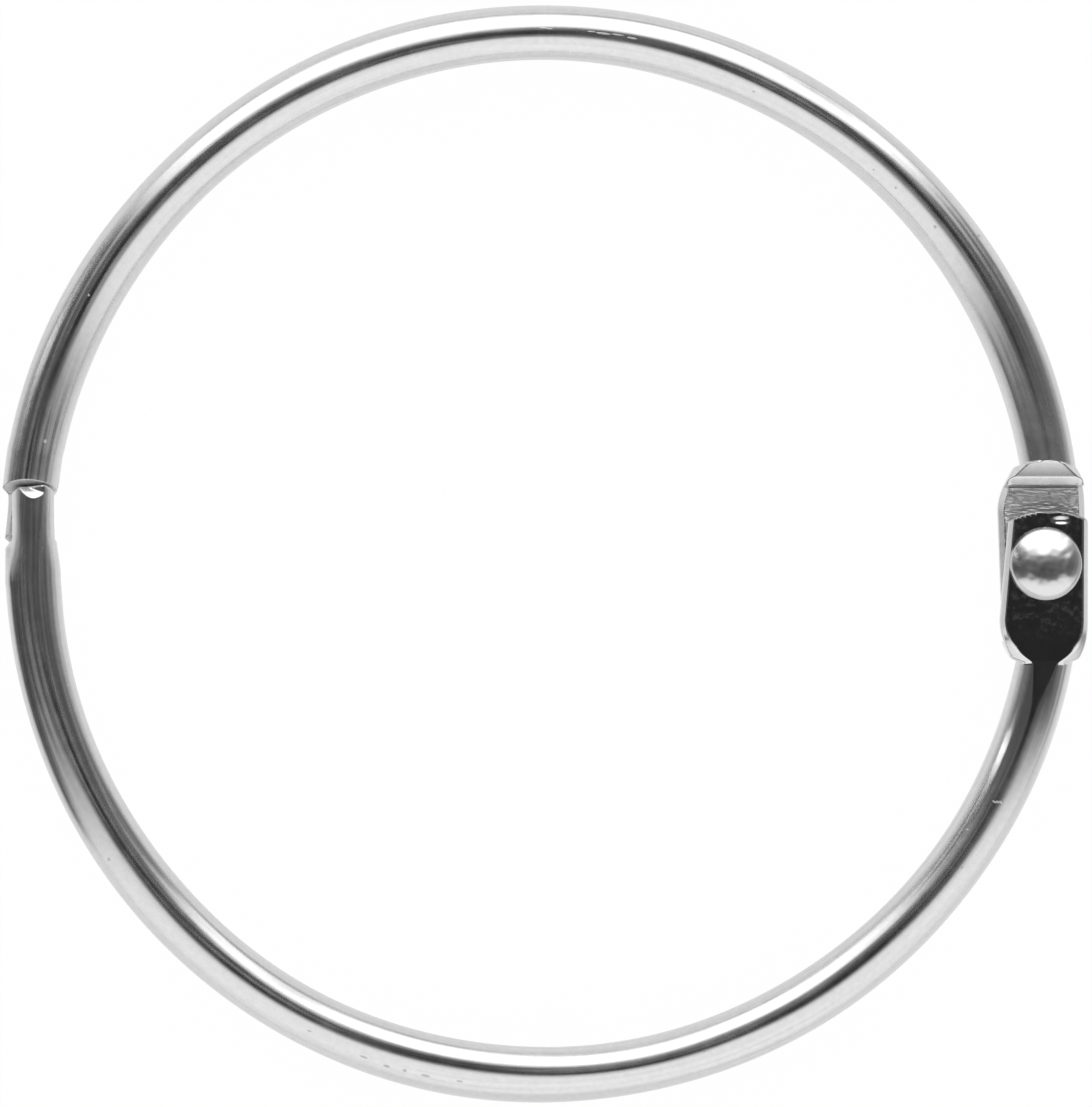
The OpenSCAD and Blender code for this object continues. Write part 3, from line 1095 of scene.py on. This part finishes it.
# %% World
BACK_LIGHT = 1.9
FRONT_LIGHT = 1.2
SMALL_LAMP = 4.0
CURTAIN = 0.08
CURTAIN_GAP = 0.22
STAND_SHADE = 0.6
# How bright the bare room is overhead, and how much more so between two angles from there
OVERHEAD = 0.024
ROOM_STEPS = [(6.5, 13.0, 0.078), (40.0, 75.0, 0.13), (76.0, 92.0, 0.4)]
# Patches of the room's walls, in degrees: the heading of each, half its width, how far below the
# zenith its top and its bottom lie, and how soft its edge is
PATCHES = {
    "curtain": (192.0, 17.0, 20.0, 140.0, 4.0), "gap": (204.0, 7.0, 55.0, 80.0, 5.0),
    "back": (90.0, 47.0, 25.0, 81.0, 6.0), "stand": (59.5, 3.0, 50.0, 100.0, 2.0),
    "front": (273.0, 65.0, 15.0, 120.0, 8.0), "lamp": (157.3, 1.6, 55.0, 80.0, 1.4)}
# A patch's top is this much lower at its sides
TOP_BOW = 12.0


def soft_box(x, y, zenith, heading, half_width, top, bottom, soft):
    """1 inside a patch, and 0 outside it."""
    c, s = math.cos(math.radians(heading)), math.sin(math.radians(heading))
    aside = abs((y * c - x * s).math("ARCTAN2", x * c + y * s)) * math.degrees(1)
    inside = 1.0 - rise(aside, half_width - soft, half_width + soft)
    inside = inside * rise(zenith - aside * aside * (TOP_BOW / half_width ** 2), top - soft, top + soft)
    return inside * (1.0 - rise(zenith, bottom - soft, bottom + soft))


def studio_world():
    """The room that the plating mirrors."""
    world = bpy.data.worlds.new("studio")
    nodes = empty_tree(world)
    x, y, z = nodes.split(nodes.add("ShaderNodeTexCoord", out="Generated"))
    zenith = z.math("ARCCOSINE") * math.degrees(1)
    room = OVERHEAD
    for start, end, more in ROOM_STEPS:
        room = room + rise(zenith, start, end) * more
    patch = {name: soft_box(x, y, zenith, *place) for name, place in PATCHES.items()}
    room = mix(room, CURTAIN + patch["gap"] * CURTAIN_GAP, patch["curtain"])
    light = mix(room, FRONT_LIGHT, patch["front"])
    light = mix(light, BACK_LIGHT, patch["back"] * (1.0 - patch["stand"] * STAND_SHADE))
    light = mix(light, SMALL_LAMP, patch["lamp"])
    light = mix(light, 1.0, nodes.add("ShaderNodeLightPath", out="Is Camera Ray"))
    shader = nodes.add("ShaderNodeBackground", [grey(nodes, light), 1.0])
    nodes.add("ShaderNodeOutputWorld", [shader])
    return world


scene.world = studio_world()
print("world:", len(scene.world.node_tree.nodes), "nodes")

# %% [markdown]
# The floor is plain white. To the camera and in reflections it is nearly an even white, and the rest
# of it takes light as a white floor does, so it keeps a faint shadow. The plate mirrors it at its
# edges, where a real floor darkens away from the lights: at both sides, and in one corner.

# %% Floor
FLOOR_SIZE = 6.0
FLOOR_GLOW = 0.95
CAMERA_GLOW = 0.985
SIDE_SHADE = 0.6
CORNER_SHADE = 0.95
CORNER_TURN = math.radians(15.0)


def floor_shade(x, y):
    """How much darker the floor is there in reflections, from 0 to 1. Lengths are in metres."""
    reach = length(x, y)
    at_sides = rise(x * x / (reach * reach), 0.74, 0.96)
    sides = rise(abs(reach - arc_r * MM), 3.0 * MM, 26.0 * MM) * at_sides * SIDE_SHADE
    corner = abs(y.math("ARCTAN2", -x) + CORNER_TURN)
    corner = (1.0 - rise(corner, math.radians(13), math.radians(19))) * (x < 0.0)
    outside = rise(reach, (arc_r + 4.0) * MM, (arc_r + 14.0) * MM)
    return most(sides, corner * outside * CORNER_SHADE)


def white_floor(level):
    """A wide white floor at that height."""
    material = bpy.data.materials.new("white_floor")
    nodes = empty_tree(material)
    x, y, _ = nodes.split(nodes.add("ShaderNodeTexCoord", out="Object"))
    path = nodes.add("ShaderNodeLightPath", out="Is Camera Ray")
    seen = most(path * CAMERA_GLOW, path.of("Is Glossy Ray") * FLOOR_GLOW)
    shine = 1.0 - floor_shade(x, y) * path.of("Is Glossy Ray")
    matt = nodes.add("ShaderNodeBsdfDiffuse", [(0.9, 0.9, 0.9, 1.0)])
    glow = nodes.add("ShaderNodeEmission", [grey(nodes, shine), 1.0])
    nodes.add("ShaderNodeOutputMaterial", [nodes.add("ShaderNodeMixShader", [seen, matt, glow])])
    half = FLOOR_SIZE / 2
    mesh = bpy.data.meshes.new("floor")
    corners = [(-half, -half, level), (half, -half, level), (half, half, level), (-half, half, level)]
    mesh.from_pydata(corners, [], [(0, 1, 2, 3)])
    mesh.materials.append(material)
    floor = in_scene("floor", mesh)
    return floor


floor = white_floor(cad_low.z)
print("floor at", round(cad_low.z / MM, 2), "mm")

# %% [markdown]
# ## The camera
# The camera hangs half a metre above the ring and looks straight down through a long lens, which
# keeps the loop round and shows both of the wire's sides alike.

# %% Camera
CAMERA_AT = (0.245 * MM, 0.013 * MM, 500 * MM)
camera_data = bpy.data.cameras.new("camera")
camera_data.lens = 252.4
camera_data.sensor_width = 36.0
camera = in_scene("camera", camera_data)
camera.location = CAMERA_AT
scene.camera = camera
scene.view_settings.view_transform = "Standard"
print("camera at", [round(v / MM, 3) for v in camera.location], "mm")
